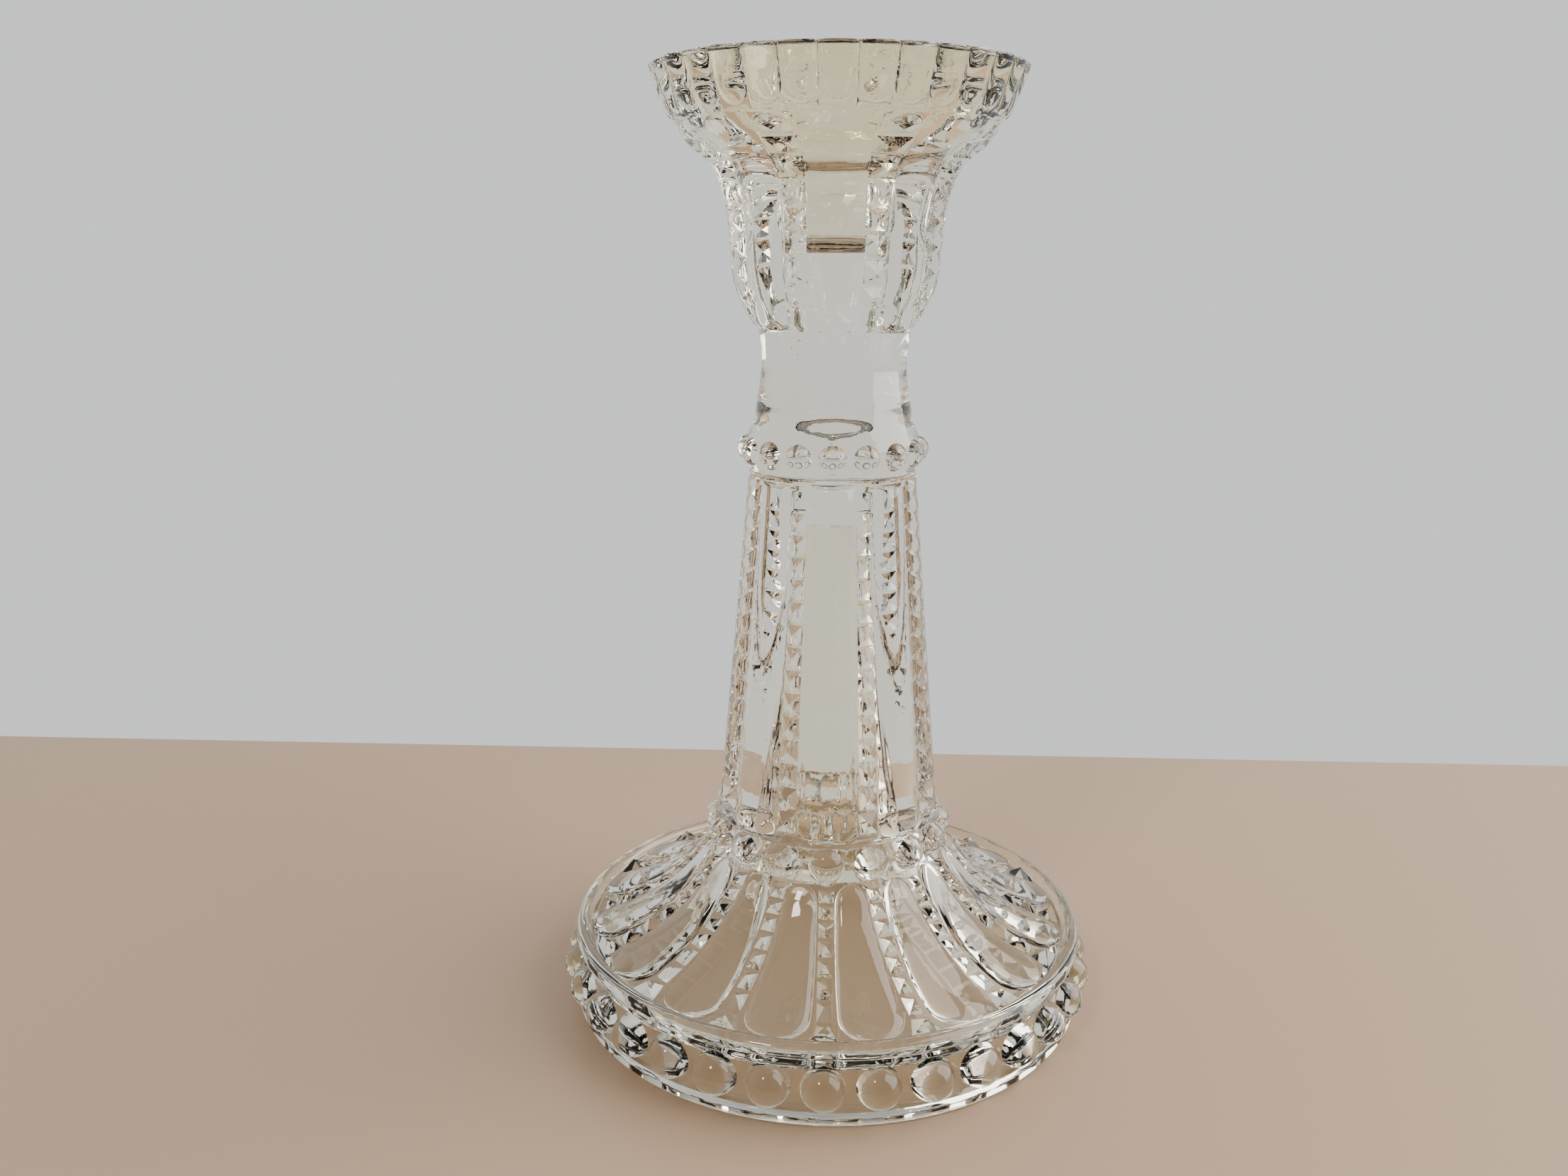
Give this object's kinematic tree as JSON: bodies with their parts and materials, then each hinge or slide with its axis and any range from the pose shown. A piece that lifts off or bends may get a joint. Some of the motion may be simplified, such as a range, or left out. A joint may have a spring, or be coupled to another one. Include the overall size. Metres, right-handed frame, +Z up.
{
  "type": "glass candlestick",
  "caption": "Clear pressed-glass candlestick: flared panelled candle cup, waisted neck, beaded collar, tapered hollow panelled stem, and a wide beaded foot with teardrop lobes.",
  "frame": {"origin": "centre of the circle that the foot stands on", "axes": "+Z up along the stem, from the foot to the candle cup; +X through the middle of a smooth panel"},
  "size_m": [0.1234, 0.1234, 0.205],
  "materials": {
    "clear_glass": "fire-polished pressed glass with a faint straw tint"
  },
  "bodies": {
    "root": {"rim": "clear_glass", "cup": "clear_glass", "cup_points": "clear_glass", "neck": "clear_glass", "collar": "clear_glass", "collar_beads": "clear_glass", "stem": "clear_glass", "stem_points": "clear_glass", "foot_collar": "clear_glass", "foot_collar_beads": "clear_glass", "skirt": "clear_glass", "skirt_lobes": "clear_glass", "skirt_points": "clear_glass", "foot_rim": "clear_glass", "foot_rim_beads": "clear_glass"}
  },
  "joints": []
}
